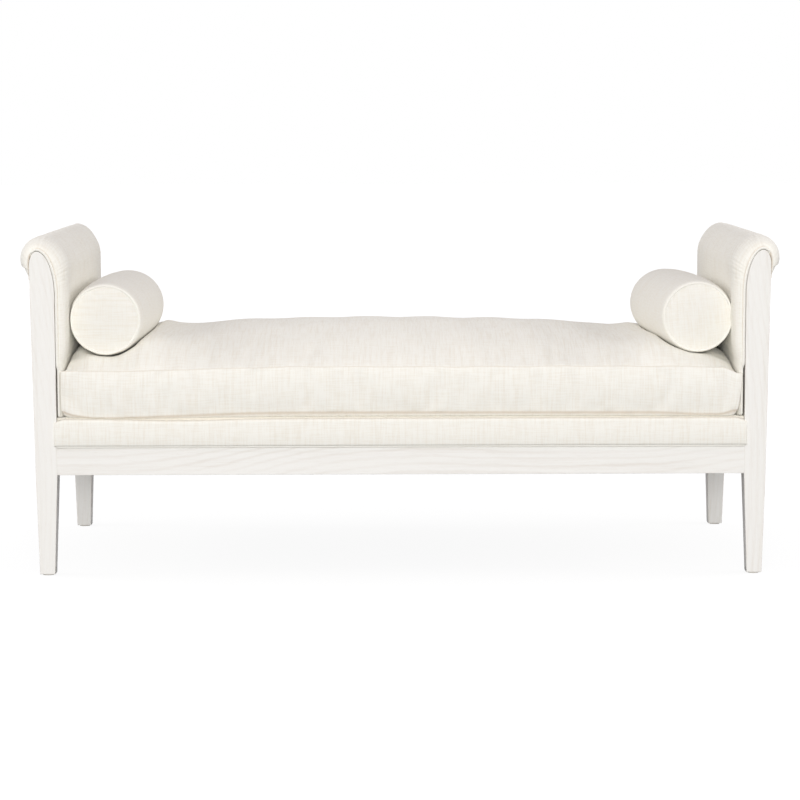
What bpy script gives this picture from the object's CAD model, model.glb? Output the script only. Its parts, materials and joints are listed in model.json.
"""Backless divan: an oak frame, a sprung deck, two padded arms, a loose seat cushion and two bolsters.

Every piece is a surface worked out with numpy, in metres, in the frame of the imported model.
Words used below: a grid is an array of points in rows and columns, a place is a spot on the
cloth in metres, and a mark is a number from 0 to 1 that a material reads at each point.
"""

import json

import bmesh
import bpy
import numpy as np
from bpy.props import FloatProperty, FloatVectorProperty, PointerProperty
from mathutils import Matrix, Vector


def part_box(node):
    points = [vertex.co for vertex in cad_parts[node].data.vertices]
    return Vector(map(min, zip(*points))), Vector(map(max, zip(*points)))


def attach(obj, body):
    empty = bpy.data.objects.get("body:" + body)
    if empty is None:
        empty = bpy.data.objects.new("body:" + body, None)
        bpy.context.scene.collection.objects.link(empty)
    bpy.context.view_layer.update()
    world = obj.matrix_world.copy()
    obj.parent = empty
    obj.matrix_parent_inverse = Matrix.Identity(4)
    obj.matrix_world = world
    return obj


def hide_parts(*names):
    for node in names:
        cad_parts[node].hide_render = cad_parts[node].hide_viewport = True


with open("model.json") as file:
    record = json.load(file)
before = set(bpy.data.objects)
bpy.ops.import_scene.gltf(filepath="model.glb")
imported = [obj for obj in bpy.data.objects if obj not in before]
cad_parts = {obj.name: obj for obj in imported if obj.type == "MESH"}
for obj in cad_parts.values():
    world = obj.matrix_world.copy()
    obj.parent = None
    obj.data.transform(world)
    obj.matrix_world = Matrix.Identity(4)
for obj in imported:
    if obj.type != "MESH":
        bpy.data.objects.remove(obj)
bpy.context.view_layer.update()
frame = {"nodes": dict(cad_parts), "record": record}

bl_info = {
    "name": "Backless divan",
    "version": (1, 0, 0),
    "blender": (4, 5, 0),
    "location": "3D View > Sidebar > Divan",
    "description": "Builds an upholstered oak divan around its packed frame",
    "category": "Add Mesh",
}

SIDES = {"left": -1, "right": 1}
ENDS = {"front": -1, "rear": 1}


def span(node):
    """The lowest and highest corner of a CAD node, as arrays."""
    low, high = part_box(node)
    return np.array(low), np.array(high)


POST_LOW, POST_HIGH = span("front_right_post")
RAIL_LOW, RAIL_HIGH = span("front_rail")
END_LOW, END_HIGH = span("right_end_rail")
BORDER_LOW, BORDER_HIGH = span("front_border")
WELT_LOW, WELT_HIGH = span("front_border_welt")
ARM_LOW, ARM_HIGH = span("right_arm_cover")
PANEL_LOW, PANEL_HIGH = span("right_outside_panel")
DECK_LOW, DECK_HIGH = span("deck_cover")
DUST_HIGH = span("dust_cover")[1]
SEAT_LOW, SEAT_HIGH = span("cushion_cover")
BOLSTER_LOW, BOLSTER_HIGH = span("right_bolster_cover")
RINGS_LOW, RINGS_HIGH = span("right_bolster_welts")
ZIP_LOW, ZIP_HIGH = span("cushion_zip")
SLIDER_LOW, SLIDER_HIGH = span("zip_slider")


def length(name, text, default):
    """A length for the panel."""
    return FloatProperty(name=name, description=text, default=default, unit="LENGTH")


def tint(name, text, default):
    """A colour for the panel."""
    return FloatVectorProperty(name=name, description=text, default=default, subtype="COLOR", min=0, max=1)


class DivanSizes(bpy.types.PropertyGroup):
    """Sizes of the soft parts that the frame leaves open."""

    ease: length("Eased edge", "Radius of the oak posts' eased edges", 0.0012)
    welt_radius: length("Welt radius", "Radius of the welts on the arms and borders", 0.0028)
    border_swell: length("Border swell", "How far the face of a border swells", 0.0020)
    arm_round: length("Arm edge", "Depth over which an arm's cloth turns to the post", 0.024)
    arm_swell: length("Arm swell", "How far an arm's inner face swells over the cushion", 0.002)
    pucker: length("Arm puckers", "Height of the puckers round the post tops", 0.0011)
    seat_shrink: length("Seat before filling", "How much smaller the cushion starts before it swells", 0.005)
    seat_cap: length("Seat swell", "The furthest that a point of the seat cushion moves as it swells", 0.008)
    bolster_cap: length("Bolster swell", "The furthest that a point of a bolster moves as it swells", 0.004)


class DivanColours(bpy.types.PropertyGroup):
    """Colours of the cloth and the wood."""

    linen: tint("Linen", "Colour of the linen's threads", (0.930, 0.918, 0.850))
    linen_slub: tint("Linen slubs", "Colour of the linen's thick uneven threads", (0.845, 0.800, 0.700))
    welt: tint("Welts", "Colour of the linen on the welts", (0.93, 0.915, 0.845))
    bolster: tint("Bolster linen", "Colour of the linen's threads on the bolsters", (0.895, 0.880, 0.815))
    crease: tint("Creases", "Colour of the linen down in its seams", (0.6, 0.5, 0.38))
    oak: tint("Whitewash", "Colour of the whitewash on the oak", (0.89, 0.88, 0.838))
    oak_grain: tint("Oak grain", "Colour of the grain that shows through", (0.72, 0.66, 0.58))


def sizes():
    """The sizes that the panel shows."""
    return bpy.context.scene.divan_sizes


def colours():
    """The colours that the panel shows."""
    return bpy.context.scene.divan_colours


# Small sums


def smooth(low, high, x):
    """Rises from 0 at low to 1 at high, level at both ends: 3 q squared less 2 q cubed."""
    q = np.clip((x - low) / (high - low), 0, 1)
    return q * q * (3 - 2 * q)


def ripple(x, pitch, seed, terms=6):
    """An uneven wave from about -1 to 1: a few sines near the given pitch with seeded phases."""
    rng = np.random.default_rng(seed)
    rate = 2 * np.pi * rng.uniform(0.6, 1.5, terms) / pitch
    phase = rng.uniform(0, 2 * np.pi, terms)
    return np.sin(np.asarray(x)[..., None] * rate + phase).sum(-1) / np.sqrt(2 * terms)


def lower_of(a, b, blend):
    """The lower of two heights, with the corner between them rounded over the blend."""
    near = np.maximum(blend - np.abs(a - b), 0) / blend
    return np.minimum(a, b) - near * near * blend / 4


def crowded(count, share):
    """Numbers from -1 to 1 that stand closer at the ends: a line mixed with a sine."""
    t = np.linspace(-1, 1, count)
    return (1 - share) * t + share * np.sin(t * np.pi / 2)


def stretches(*parts):
    """Joins runs of numbers or points that share their ends."""
    return np.concatenate([parts[0]] + [part[1:] for part in parts[1:]])


def joined(*columns):
    """Numbers and arrays of numbers, spread to one shape, as the columns of points or places."""
    return np.stack(np.broadcast_arrays(*columns), -1)


def closed(grid):
    """Rings with their first point again at the end."""
    return np.concatenate([grid, grid[:, :1]], 1)


def unit(vectors):
    """The same directions at length 1."""
    return vectors / np.maximum(np.linalg.norm(vectors, axis=-1, keepdims=True), 1e-9)


def run_length(points, axis=0):
    """Distance run along an axis of a grid of points."""
    step = np.linalg.norm(np.diff(points, axis=axis), axis=-1)
    start = np.zeros_like(np.take(step, [0], axis=axis))
    return np.concatenate([start, np.cumsum(step, axis=axis)], axis=axis)


def resampled(points, count):
    """The same line with points at equal distances."""
    run = run_length(points)
    at = np.linspace(0, run[-1], count)
    return np.stack([np.interp(at, run, column) for column in points.T], -1)


def quarter(centre, radii, start, stop, count):
    """Points of part of an ellipse in a plane, from one angle to another in degrees."""
    angle = np.radians(np.linspace(start, stop, count))
    return np.stack([centre[0] + radii[0] * np.cos(angle), centre[1] + radii[1] * np.sin(angle)], -1)


# Meshes

WALL_STEP = 0.01
CORD_SIDES = 14
CLOTH_FRAMES = 20


def corners(grid):
    """The four corners of each cell of a grid, in order round the cell."""
    return np.stack([grid[:-1, :-1], grid[:-1, 1:], grid[1:, 1:], grid[1:, :-1]], 2)


class Skin:
    """The points and faces of one piece, with a place for each corner of a face."""

    def __init__(self):
        """Starts empty."""
        self.points = []
        self.marks = []
        self.faces = []
        self.places = []
        self.count = 0

    def add(self, points, mark=0.0):
        """Adds a grid of points and gives the grid of their numbers."""
        shape = points.shape[:-1]
        index = self.count + np.arange(int(np.prod(shape))).reshape(shape)
        self.points.append(points.reshape(-1, 3))
        self.marks.append(np.broadcast_to(mark, shape).reshape(-1))
        self.count = int(index.max()) + 1
        return index

    def cells(self, index, places):
        """Makes a face of each cell of a grid of point numbers, with the places at the same cells."""
        self.faces += corners(index).reshape(-1, 4).tolist()
        self.places.append(corners(places).reshape(-1, 2))

    def lid(self, loop, places):
        """Closes a ring of point numbers with one face."""
        self.faces.append(loop.tolist())
        self.places.append(places)

    def tube(self, points, places, mark=0.0):
        """Adds rings of points as a closed tube with a lid at each end."""
        index = self.add(points, mark)
        self.cells(closed(index), places)
        self.lid(index[0][::-1], places[0, :-1])
        self.lid(index[-1], places[-1, :-1])
        return index

    def build(self, name, material):
        """Makes the object, smooth shaded, with its marks and its map of the cloth."""
        mesh = bpy.data.meshes.new(name)
        mesh.from_pydata(np.concatenate(self.points), [], self.faces)
        mesh.uv_layers.new(name="cloth").data.foreach_set(
            "uv", np.concatenate(self.places).astype(np.float32).ravel())
        mesh.attributes.new("mark", "FLOAT", "POINT").data.foreach_set(
            "value", np.concatenate(self.marks).astype(np.float32))
        mesh.polygons.foreach_set("use_smooth", np.ones(len(self.faces), bool))
        mesh.materials.append(material)
        piece = bpy.data.objects.new(name, mesh)
        bpy.context.scene.collection.objects.link(piece)
        return piece


def rim_of(rows, columns):
    """Point numbers round the rim of a grid, counter-clockwise, with the first one again at the end."""
    index = np.arange(rows * columns).reshape(rows, columns)
    return np.concatenate([index[0, :-1], index[:-1, -1], index[-1, :0:-1], index[:, 0][::-1]])


def slab(face, back, places, mark=0.0, wall=0.002):
    """A thin closed piece between two grids of points, with a wall of the given height at the rim."""
    skin = Skin()
    outer, inner = skin.add(face, mark), skin.add(back)
    skin.cells(outer, places)
    skin.cells(inner[::-1], places[::-1])
    rim = rim_of(*outer.shape)
    rows = np.stack([inner.ravel()[rim], outer.ravel()[rim]])
    skin.cells(rows, joined(np.arange(len(rim)) * WALL_STEP, [[0.0], [wall]]))
    return skin


def outward(piece):
    """Turns the faces of a closed piece outwards."""
    shape = bmesh.new()
    shape.from_mesh(piece.data)
    bmesh.ops.recalc_face_normals(shape, faces=shape.faces)
    shape.to_mesh(piece.data)
    shape.free()
    return piece


def mirrored(points, hand=1, end=1):
    """Places drawn at the right and rear, moved to the hand and end that are asked for."""
    return points * np.array([hand, end, 1])


def subdivide(piece, levels=1):
    """Adds a Subdivision Surface."""
    modifier = piece.modifiers.new("smooth", "SUBSURF")
    modifier.levels = modifier.render_levels = levels
    return piece


def settle(piece, body, slot, *nodes, fill=None):
    """Ties a finished piece to its body, its finish and the CAD nodes that it stands for."""
    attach(piece, body)
    if nodes:
        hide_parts(*nodes)
    return piece


def mesh_points(mesh):
    """All points of a mesh as an array."""
    flat = np.zeros(len(mesh.vertices) * 3, np.float32)
    mesh.vertices.foreach_get("co", flat)
    return flat.reshape(-1, 3).astype(float)


def move_points(piece, points):
    """Puts every point of a piece in its new place."""
    piece.data.vertices.foreach_set("co", points.astype(np.float32).ravel())
    piece.data.update()


def inflate(piece, held, pressure, grow, cap):
    """Lets Blender's cloth swell a piece: the held points stay, and no other point moves past the cap.
    Each move m becomes cap times tanh(m over cap)."""
    scene = bpy.context.scene
    rest = mesh_points(piece.data)
    group = piece.vertex_groups.new(name="held")
    group.add(held.astype(int).tolist(), 1.0, "REPLACE")
    cloth = piece.modifiers.new("fabric", "CLOTH").settings
    cloth.quality = 6
    cloth.mass = 0.25
    cloth.tension_stiffness = 20
    cloth.compression_stiffness = 12
    cloth.shear_stiffness = 6
    cloth.bending_stiffness = 0.6
    cloth.use_pressure = True
    cloth.uniform_pressure_force = pressure
    cloth.effector_weights.gravity = 0
    cloth.shrink_min = -grow
    cloth.vertex_group_mass = "held"
    for step in range(1, CLOTH_FRAMES + 1):
        scene.frame_set(step)
    result = piece.evaluated_get(bpy.context.evaluated_depsgraph_get())
    move = mesh_points(result.data) - rest
    piece.modifiers.clear()
    piece.vertex_groups.clear()
    scene.frame_set(1)
    far = np.linalg.norm(move, axis=1, keepdims=True)
    move_points(piece, rest + move * np.tanh(far / cap) * cap / np.maximum(far, 1e-9))
    return piece


def cord_rings(path, normal, radius):
    """Rings of a round cord on a flat path: each point carries a circle spanned by the plane's
    normal and the direction square to both the normal and the path."""
    along = np.gradient(path, axis=0)
    side = unit(np.cross(along, normal))
    angle = np.linspace(0, 2 * np.pi, CORD_SIDES, endpoint=False)
    radius = np.broadcast_to(radius, len(path))[:, None, None]
    circle = side[:, None] * np.cos(angle)[:, None] + np.array(normal) * np.sin(angle)[:, None]
    return path[:, None] + radius * circle


def cord_places(path, radius):
    """Places on a cord's cloth: the distance along it, and the distance round it."""
    run = run_length(path)[:, None]
    return joined(run, np.linspace(0, 2 * np.pi * radius, CORD_SIDES + 1))


def end_round(path, radius):
    """Radius along a cord that closes in a half ball at each end: r times the root of 1 - q squared."""
    run = run_length(path)
    left = np.minimum(run, run[-1] - run)
    q = 1 - np.clip(left / radius, 0.02, 1)
    return radius * np.sqrt(1 - q * q)


def welt(name, path, normal, radius, seed):
    """A welt with rounded ends, slightly uneven where its cloth is drawn round the cord."""
    width = end_round(path, radius) * (1 + 0.03 * ripple(run_length(path), 0.02, seed))
    skin = Skin()
    skin.tube(cord_rings(path, normal, width), cord_places(path, radius), 0.0)
    return outward(skin.build(name, welt_material()))


# Shader groups and materials


def add(tree, kind, inputs=None, **settings):
    """Adds a node: settings are its own values, and inputs are values or sockets to join."""
    node = tree.nodes.new(kind)
    for key, value in settings.items():
        setattr(node, key, value)
    for key, value in (inputs or {}).items():
        if isinstance(value, bpy.types.NodeSocket):
            tree.links.new(value, node.inputs[key])
        else:
            node.inputs[key].default_value = value
    return node


def sum_of(tree, kind, a, b, **more):
    """One Math node."""
    return add(tree, "ShaderNodeMath", {0: a, 1: b}, operation=kind, **more).outputs[0]


def plus(tree, a, b, **more):
    """The sum of two values."""
    return sum_of(tree, "ADD", a, b, **more)


def times(tree, a, b, **more):
    """The product of two values."""
    return sum_of(tree, "MULTIPLY", a, b, **more)


def noise(tree, place, scale, detail=2.0, rough=0.5):
    """Noise at a place that is first stretched by three scales."""
    stretched = add(tree, "ShaderNodeVectorMath", {0: place, 1: scale}, operation="MULTIPLY").outputs[0]
    inputs = {"Vector": stretched, "Scale": 1.0, "Detail": detail, "Roughness": rough}
    return add(tree, "ShaderNodeTexNoise", inputs).outputs["Fac"]


def between(tree, value, low, high, out_low=0.0, out_high=1.0):
    """Maps a value from one range to another and clamps it."""
    inputs = {"Value": value, "From Min": low, "From Max": high, "To Min": out_low, "To Max": out_high}
    return add(tree, "ShaderNodeMapRange", inputs).outputs["Result"]


def shader_group(name, inputs, outputs):
    """An empty shader group with named sockets, and the nodes at its start and end."""
    tree = bpy.data.node_groups.new(name, "ShaderNodeTree")
    for socket, kind, default in inputs:
        made = tree.interface.new_socket(name=socket, in_out="INPUT", socket_type=kind)
        if default is not None:
            made.default_value = default
    for socket in outputs:
        tree.interface.new_socket(name=socket, in_out="OUTPUT", socket_type="NodeSocketFloat")
    return tree, tree.nodes.new("NodeGroupInput"), tree.nodes.new("NodeGroupOutput")


def weave_group():
    """Linen weave on places in metres: fine threads both ways, longer uneven slubs, and soft clouds.
    Slubs is a mask of the thick threads, Crease of the cloth down in a seam, Height is for a bump and
    Dry for roughness."""
    found = bpy.data.node_groups.get("linen_weave")
    if found:
        return found
    tree, start, end = shader_group(
        "linen_weave",
        [("Place", "NodeSocketVector", None), ("Upright Slubs", "NodeSocketFloat", 1.0),
         ("Level Slubs", "NodeSocketFloat", 0.5), ("Seam", "NodeSocketFloat", 0.0)],
        ["Slubs", "Crease", "Height", "Dry"])
    place = start.outputs["Place"]
    warp = noise(tree, place, (1100, 30, 30), 1.0)
    weft = noise(tree, place, (30, 1100, 30), 1.0)
    fine = plus(tree, warp, weft)
    thin = between(tree, noise(tree, place, (340, 24, 24), 2.0), 0.42, 0.62)
    thick = between(tree, noise(tree, place, (150, 8, 8), 2.0), 0.44, 0.62)
    upright = plus(tree, times(tree, thin, 0.5), times(tree, thick, 0.45))
    level = between(tree, noise(tree, place, (24, 340, 24), 2.0), 0.42, 0.62)
    upright = times(tree, upright, start.outputs["Upright Slubs"])
    level = times(tree, level, start.outputs["Level Slubs"])
    threads = plus(tree, upright, level)
    cloud = between(tree, noise(tree, place, (9, 9, 9), 3.0), 0.35, 0.7, -0.2, -0.12)
    slubs = plus(tree, times(tree, threads, 0.66), cloud, use_clamp=True)
    tree.links.new(slubs, end.inputs["Slubs"])
    tree.links.new(between(tree, start.outputs["Seam"], 0.25, 0.95, 0.0, 0.65), end.inputs["Crease"])
    crimp = times(tree, start.outputs["Seam"], noise(tree, place, (75, 75, 75), 1.0))
    relief = plus(tree, times(tree, fine, 0.25), times(tree, threads, 0.5))
    tree.links.new(plus(tree, relief, crimp), end.inputs["Height"])
    tree.links.new(between(tree, fine, 0.7, 1.3, 0.82, 0.95), end.inputs["Dry"])
    return tree


def grain_group():
    """Oak grain on places whose first axis runs along the board: growth rings round a leaning
    heart make arches and lines, with streaks and short pores. Grain is a mask and Height is for a bump."""
    found = bpy.data.node_groups.get("oak_grain")
    if found:
        return found
    tree, start, end = shader_group(
        "oak_grain",
        [("Place", "NodeSocketVector", None), ("Rings", "NodeSocketFloat", 1.0),
         ("Edge", "NodeSocketFloat", 0.0)],
        ["Grain", "Wear", "Height", "Dry"])
    place = start.outputs["Place"]
    along = add(tree, "ShaderNodeSeparateXYZ", {0: place}).outputs[0]
    wave = sum_of(tree, "SINE", times(tree, along, 5.7), 0.0)
    bend = times(tree, noise(tree, place, (2.2, 9, 9), 2.0), 0.03)
    drift = plus(tree, times(tree, wave, 0.024), bend)
    lift = add(tree, "ShaderNodeCombineXYZ", {"Z": drift}).outputs[0]
    moved = add(tree, "ShaderNodeVectorMath", {0: place, 1: lift}, operation="ADD").outputs[0]
    leaning = add(tree, "ShaderNodeMapping", {
        "Vector": moved, "Location": (0.02, 0.02, 0.11), "Rotation": (0.0, 0.09, 0.05),
        "Scale": (0.6, 1, 1)}).outputs[0]
    rings = add(tree, "ShaderNodeTexWave", {
        "Vector": leaning, "Scale": 26.0, "Distortion": 1.4, "Detail": 2.0, "Detail Scale": 1.6},
        wave_type="RINGS", rings_direction="X").outputs["Fac"]
    lines = times(tree, between(tree, rings, 0.55, 1.0), start.outputs["Rings"])
    streaks = between(tree, noise(tree, place, (5, 190, 190), 4.0, 0.6), 0.44, 0.72)
    pores = between(tree, noise(tree, place, (55, 1500, 1500), 1.0), 0.62, 0.7)
    broken = between(tree, noise(tree, place, (3, 30, 30), 2.0), 0.3, 0.65, 0.25, 1.0)
    grain = plus(tree, times(tree, lines, 0.34), times(tree, streaks, 0.26))
    grain = times(tree, grain, broken)
    grain = plus(tree, grain, times(tree, pores, 0.18), use_clamp=True)
    tree.links.new(grain, end.inputs["Grain"])
    rubbed = between(tree, noise(tree, place, (14, 60, 60), 3.0, 0.65), 0.42, 0.62)
    wear = times(tree, sum_of(tree, "POWER", start.outputs["Edge"], 2.0), rubbed, use_clamp=True)
    tree.links.new(wear, end.inputs["Wear"])
    tree.links.new(sum_of(tree, "SUBTRACT", 1.0, grain), end.inputs["Height"])
    tree.links.new(between(tree, grain, 0.0, 0.5, 0.5, 0.66), end.inputs["Dry"])
    return tree


def fleck_group():
    """Flecks for plain inner materials: Fleck is a mask of stretched noise, and Height is for a bump."""
    found = bpy.data.node_groups.get("flecks")
    if found:
        return found
    tree, start, end = shader_group(
        "flecks",
        [("Place", "NodeSocketVector", None), ("Stretch", "NodeSocketVector", (200, 200, 200))],
        ["Fleck", "Height", "Dry"])
    place = add(tree, "ShaderNodeVectorMath", {
        0: start.outputs["Place"], 1: start.outputs["Stretch"]}, operation="MULTIPLY").outputs[0]
    rough = noise(tree, place, (1, 1, 1), 4.0, 0.6)
    cloud = noise(tree, place, (0.06, 0.06, 0.06), 2.0)
    fleck = plus(tree, between(tree, rough, 0.4, 0.7, 0.0, 0.7), between(tree, cloud, 0.35, 0.65, 0.0, 0.3))
    tree.links.new(fleck, end.inputs["Fleck"])
    tree.links.new(rough, end.inputs["Height"])
    tree.links.new(between(tree, rough, 0.3, 0.7, 0.55, 0.9), end.inputs["Dry"])
    return tree


def new_material(name):
    """A material with its node tree and its Principled shader, or the one that is there already. Its
    name starts with divan, because the frame's own flat materials have the plain names."""
    name = f"divan_{name}"
    found = bpy.data.materials.get(name)
    if found:
        return found, None, None
    material = bpy.data.materials.new(name)
    material.use_nodes = True
    return material, material.node_tree, material.node_tree.nodes["Principled BSDF"]


def mixed(tree, mask, low, high):
    """A colour between two colours, each a value or a socket."""
    node = add(tree, "ShaderNodeMix", data_type="RGBA")
    tree.links.new(mask, node.inputs["Factor"])
    for socket, colour in zip((node.inputs["A"], node.inputs["B"]), (low, high)):
        if isinstance(colour, bpy.types.NodeSocket):
            tree.links.new(colour, socket)
        else:
            socket.default_value = (*colour, 1)
    return node.outputs["Result"]


def look(shader, **values):
    """Sets the shader's own sockets, with _ for each space in a socket's name."""
    for key, value in values.items():
        shader.inputs[key.replace("_", " ")].default_value = value


def grouped(tree, group, **inputs):
    """Places a shader group."""
    node = add(tree, "ShaderNodeGroup", node_tree=group)
    for key, value in inputs.items():
        socket = node.inputs[key.replace("_", " ")]
        if isinstance(value, bpy.types.NodeSocket):
            tree.links.new(value, socket)
        else:
            socket.default_value = value
    return node.outputs


def bumped(tree, shader, height, strength, distance):
    """Joins a height to the shader's normal through a Bump node."""
    bump = add(tree, "ShaderNodeBump", {"Height": height, "Strength": strength, "Distance": distance})
    tree.links.new(bump.outputs["Normal"], shader.inputs["Normal"])


def cloth_material(name="linen", upright=1.0, level=0.45, colour="linen"):
    """Linen that follows the piece's own map of the cloth. upright and level are its slubs each way."""
    material, tree, shader = new_material(name)
    if tree is None:
        return material
    place = add(tree, "ShaderNodeUVMap", uv_map="cloth").outputs[0]
    seam = add(tree, "ShaderNodeAttribute", attribute_name="mark").outputs["Fac"]
    weave = grouped(tree, weave_group(), Place=place, Upright_Slubs=upright, Level_Slubs=level, Seam=seam)
    linen, slub = tuple(getattr(colours(), colour)), tuple(colours().linen_slub)
    cloth = mixed(tree, weave["Slubs"], linen, slub)
    tree.links.new(mixed(tree, weave["Crease"], cloth, tuple(colours().crease)), shader.inputs["Base Color"])
    tree.links.new(weave["Dry"], shader.inputs["Roughness"])
    bumped(tree, shader, weave["Height"], 0.35, 0.0009)
    look(shader, Specular_IOR_Level=0.2, Sheen_Weight=0.12, Sheen_Roughness=0.5)
    return material


def welt_material():
    """The same linen on a cord, with fewer slubs and a colour of its own."""
    return cloth_material("welt_linen", 0.6, 0.3, "welt")


BARE_OAK = (0.74, 0.67, 0.58)
UPRIGHT = (0.0, np.pi / 2, 0.0)
ACROSS = (0.0, 0.0, -np.pi / 2)
ALONG = (0.0, 0.0, 0.0)


def oak_material(name, turn, rings, shift=(0.0, 0.0, 0.0)):
    """Whitewashed oak with its grain along a board, which the turn brings to the first axis."""
    material, tree, shader = new_material(name)
    if tree is None:
        return material
    spot = add(tree, "ShaderNodeTexCoord").outputs["Object"]
    place = add(tree, "ShaderNodeMapping", {"Vector": spot, "Rotation": turn, "Location": shift}).outputs[0]
    edge = add(tree, "ShaderNodeAttribute", attribute_name="mark").outputs["Fac"]
    grain = grouped(tree, grain_group(), Place=place, Rings=rings, Edge=edge)
    washed = mixed(tree, grain["Grain"], tuple(colours().oak), tuple(colours().oak_grain))
    tree.links.new(mixed(tree, grain["Wear"], washed, BARE_OAK), shader.inputs["Base Color"])
    tree.links.new(grain["Dry"], shader.inputs["Roughness"])
    bumped(tree, shader, grain["Height"], 0.25, 0.0005)
    look(shader, Specular_IOR_Level=0.35)
    return material


def plain_material(name, light, dark, stretch, metal=0.0, strength=0.2, distance=0.0004):
    """A flecked material on Object coordinates, for the parts inside."""
    material, tree, shader = new_material(name)
    if tree is None:
        return material
    spot = add(tree, "ShaderNodeTexCoord").outputs["Object"]
    fleck = grouped(tree, fleck_group(), Place=spot, Stretch=stretch)
    tree.links.new(mixed(tree, fleck["Fleck"], light, dark), shader.inputs["Base Color"])
    tree.links.new(fleck["Dry"], shader.inputs["Roughness"])
    bumped(tree, shader, fleck["Height"], strength, distance)
    if metal:
        look(shader, Metallic=metal)
        tree.links.new(between(tree, fleck["Fleck"], 0.0, 1.0, 0.28, 0.5), shader.inputs["Roughness"])
    return material


# For each slot: a light and a dark colour, how the flecks are stretched, how far the material is
# metal, and the strength and depth of its relief
INNER = {
    "frame_wood": ((0.62, 0.48, 0.30), (0.5, 0.36, 0.2), (12, 160, 160)),
    "foam": ((0.9, 0.86, 0.77), (0.82, 0.77, 0.66), (700, 700, 700), 0.0, 0.5, 0.001),
    "fibre": ((0.93, 0.93, 0.92), (0.8, 0.8, 0.8), (150, 60, 300), 0.0, 0.6, 0.003),
    "steel": ((0.56, 0.57, 0.58), (0.4, 0.4, 0.41), (60, 900, 900), 1.0),
    "jute": ((0.52, 0.4, 0.24), (0.34, 0.25, 0.13), (60, 900, 400), 0.0, 0.6, 0.001),
    "hardboard": ((0.26, 0.16, 0.09), (0.17, 0.1, 0.05), (500, 500, 500)),
    "nylon": ((0.72, 0.69, 0.63), (0.62, 0.58, 0.52), (400, 400, 400)),
    "dust_cloth": ((0.02, 0.02, 0.022), (0.045, 0.045, 0.048), (260, 120, 500)),
    "zip_metal": ((0.6, 0.6, 0.62), (0.45, 0.45, 0.47), (300, 900, 900), 1.0),
    "zip_tape": ((0.84, 0.8, 0.73), (0.74, 0.69, 0.6), (1500, 300, 900)),
}


def inner_material(slot):
    """The material of a CAD node that stays, from its slot in the record."""
    if slot == "oak":
        return oak_material("oak_upright", UPRIGHT, 0.5)
    return cloth_material() if slot == "linen" else plain_material(slot, *INNER[slot])


# Oak

SHOULDER_HEIGHT = 0.034
ARCH_HEIGHT = 0.094
CROWN_INSET = 0.016
FEET = (0.7457, 0.7782)
FOOT_DEPTH = 0.034
RAIL_EASE = 0.0006


def board(name, low, high, near, back, material, ease, turned=False, worn=1.0):
    """A board cut to an outline. low and high are the two chains of its outline, matched point for
    point. Rings step in from the outline at each face and round the eased edge by a quarter circle:
    inset = ease (1 - sin a), depth = ease (1 - cos a). Ladders of faces close the front and back.
    A board that is turned lies along the second axis. worn is the wear of the edge at each point."""
    loop = np.concatenate([low, high[::-1]])
    along = np.roll(loop, -1, 0) - np.roll(loop, 1, 0)
    inward = unit(joined(-along[:, 1], along[:, 0]))
    if ((loop.mean(0) - loop) * inward).sum() < 0:
        inward = -inward
    if ease < RAIL_EASE * 1.5:
        inward = joined(np.zeros(len(loop)), np.sign(inward[:, 1]))
    bend = np.radians([0, 30, 60, 90])
    inset = np.concatenate([[2.8 * ease], ease * (1 - np.sin(bend)), [0.0]])
    depth = np.concatenate([[0.0], ease * (1 - np.cos(bend)), [3.5 * ease]])
    edge = np.array([0.0, 0.5, 1.0, 1.0, 0.5, 0.0])
    flat = loop + inward * np.concatenate([inset, inset[::-1]])[:, None, None]
    at = np.concatenate([near + depth[:, None] + 0 * back, back - depth[::-1, None] + 0 * near])
    across = (at, flat[..., 0]) if turned else (flat[..., 0], at)
    grid = joined(*across, flat[..., 1])
    run = run_length(np.concatenate([loop, loop[:1]]))
    places = joined(run, np.arange(len(grid))[:, None] * WALL_STEP)
    skin = Skin()
    index = skin.add(grid, np.concatenate([edge, edge[::-1]])[:, None] * worn)
    skin.cells(closed(index), places)
    half = len(low)
    for row in (0, -1):
        skin.cells(np.stack([index[row, :half], index[row, half:][::-1]]), np.stack([low, high]))
    return outward(skin.build(name, material))


def post_chains(shoulder_height, arch_height, crown_inset, leg_top, feet):
    """The inner and outer edge of a post from the foot up: straight tapers below, then two quarter
    ellipses that meet at the crown."""
    half_l, post_in, bottom, top = POST_HIGH[0], POST_LOW[0], POST_LOW[2], POST_HIGH[2]
    crown = half_l - crown_inset
    rail_out = END_HIGH[0]
    arch_z, shoulder_z = top - arch_height, top - shoulder_height
    angle = np.radians(np.linspace(0, 88.6, 44))
    z = stretches(np.linspace(bottom, leg_top, 12), np.linspace(leg_top, arch_z, 26),
                  arch_z + arch_height * np.sin(angle))
    inner = np.interp(z, [bottom, leg_top], [feet[0], post_in])
    over = np.clip((z - arch_z) / arch_height, 0, 1)
    inner = np.where(z > arch_z, crown - (crown - post_in) * np.sqrt(1 - over ** 2), inner)
    outer = np.interp(z, [bottom, leg_top, shoulder_z], [feet[1], rail_out, half_l])
    over = np.clip((z - shoulder_z) / shoulder_height, 0, 1)
    outer = np.where(z > shoulder_z, crown + (half_l - crown) * np.sqrt(1 - over ** 2), outer)
    return joined(inner, z), joined(outer, z)


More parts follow.
